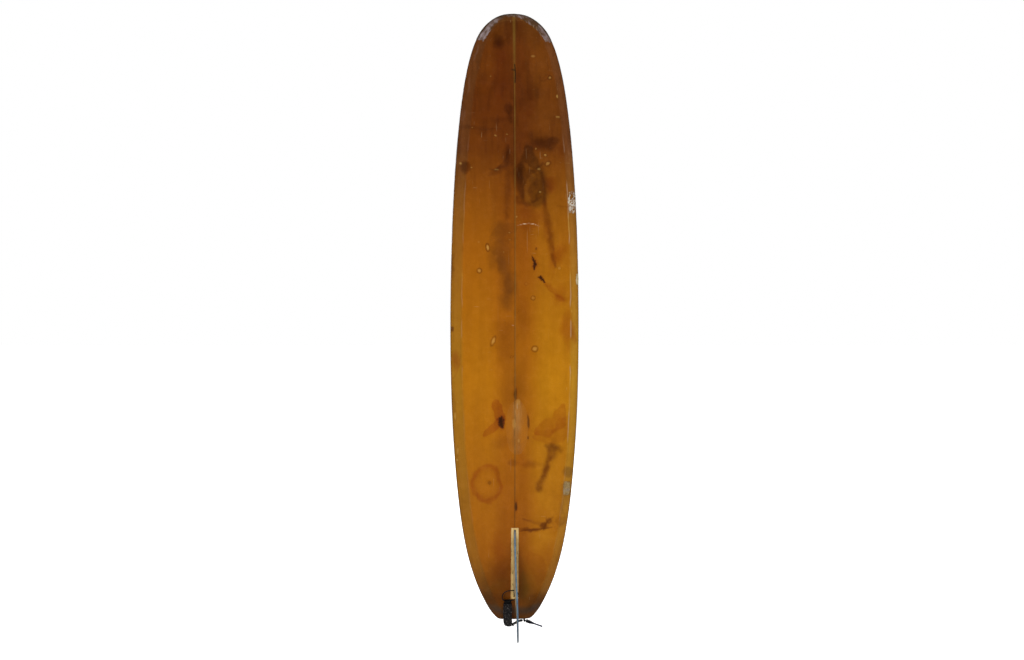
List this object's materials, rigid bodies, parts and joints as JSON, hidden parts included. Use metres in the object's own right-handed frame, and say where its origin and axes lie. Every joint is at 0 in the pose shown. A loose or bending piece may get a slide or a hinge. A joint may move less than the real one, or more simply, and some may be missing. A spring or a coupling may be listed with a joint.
{
  "type": "surfboard",
  "caption": "Longboard surfboard standing on its tail: foam and stringer core under lapped glass, sliding raked fin in a box, leash string, webbing saver and swivel.",
  "frame": {"origin": "centre of the bottom of the overall box: the floor point under the board when it stands upright on its tail; the hanging end of the leash cord is the lowest point", "axes": "+Z along the board from tail to nose, -Y out of the bottom face (the fin side), +Y out of the deck, +X across the board to the right when looking at the bottom"},
  "size_m": [0.5842, 0.3173, 2.8286],
  "materials": {
    "foam": "matte",
    "stringer_wood": "matte",
    "bottom_laminate": "gloss",
    "deck_laminate": "gloss",
    "repair_laminate": "satin",
    "patch_laminate": "satin",
    "rail_patch": "satin",
    "box_plastic": "satin",
    "bed_resin": "gloss",
    "fin_laminate": "satin",
    "bead_resin": "satin",
    "screw_metal": "satin",
    "nut_metal": "satin",
    "string_cord": "matte",
    "saver_webbing": "matte",
    "flap_fleece": "matte",
    "pin_steel": "polished",
    "link_steel": "polished",
    "swivel_plastic": "satin",
    "horn_urethane": "satin",
    "cord_urethane": "satin"
  },
  "bodies": {
    "board": {"foam_blank_left": "foam", "foam_blank_right": "foam", "stringer": "stringer_wood", "bottom_glass": "bottom_laminate", "deck_glass": "deck_laminate", "nose_repair_cloth": "repair_laminate", "bottom_repair_patch": "patch_laminate", "rail_repair_front": "rail_patch", "rail_repair_mid": "rail_patch", "rail_repair_rear": "rail_patch", "fin_box": "box_plastic", "fin_box_resin_bed": "bed_resin"},
    "fin": {"fin_panel": "fin_laminate", "fin_edge_bead": "bead_resin", "fin_plate_nut": "nut_metal"},
    "screw": {"fin_screw": "screw_metal"},
    "string_loop": {"leash_string": "string_cord", "string_knot": "string_cord"},
    "saver": {"rail_saver": "saver_webbing", "saver_flap": "flap_fleece", "saver_pin": "pin_steel"},
    "swivel_eye": {"swivel_link": "link_steel"},
    "swivel": {"swivel_barrel": "swivel_plastic", "cord_horn": "horn_urethane", "leash_cord": "cord_urethane"}
  },
  "joints": [
    {"name": "fin_slide", "type": "slide", "parent": "board", "child": "fin", "axis": [0, 0.0828, -0.9966], "range_m": [0, 0.007]},
    {"name": "screw_turn", "type": "hinge", "parent": "fin", "child": "screw", "pos_m": [0, 0.09604, 0.16312], "axis": [0, -0.9966, -0.0828], "continuous": true},
    {"name": "string_swing", "type": "hinge", "parent": "fin", "child": "string_loop", "pos_m": [0, 0.0713, 0.18314], "axis": [-1, 0, 0], "range_deg": [0, 20]},
    {"name": "saver_swing", "type": "hinge", "parent": "string_loop", "child": "saver", "pos_m": [-0.032, 0.07895, 0.1346], "axis": [-1, 0, 0], "range_deg": [0, 35]},
    {"name": "swivel_tilt", "type": "hinge", "parent": "saver", "child": "swivel_eye", "pos_m": [0.0465, 0.1119, 0.0343], "axis": [0, 1, 0], "range_deg": [0, 70]},
    {"name": "swivel_spin", "type": "hinge", "parent": "swivel_eye", "child": "swivel", "pos_m": [0.06336, 0.1119, 0.028], "axis": [0.9367, 0, -0.3502], "continuous": true}
  ]
}
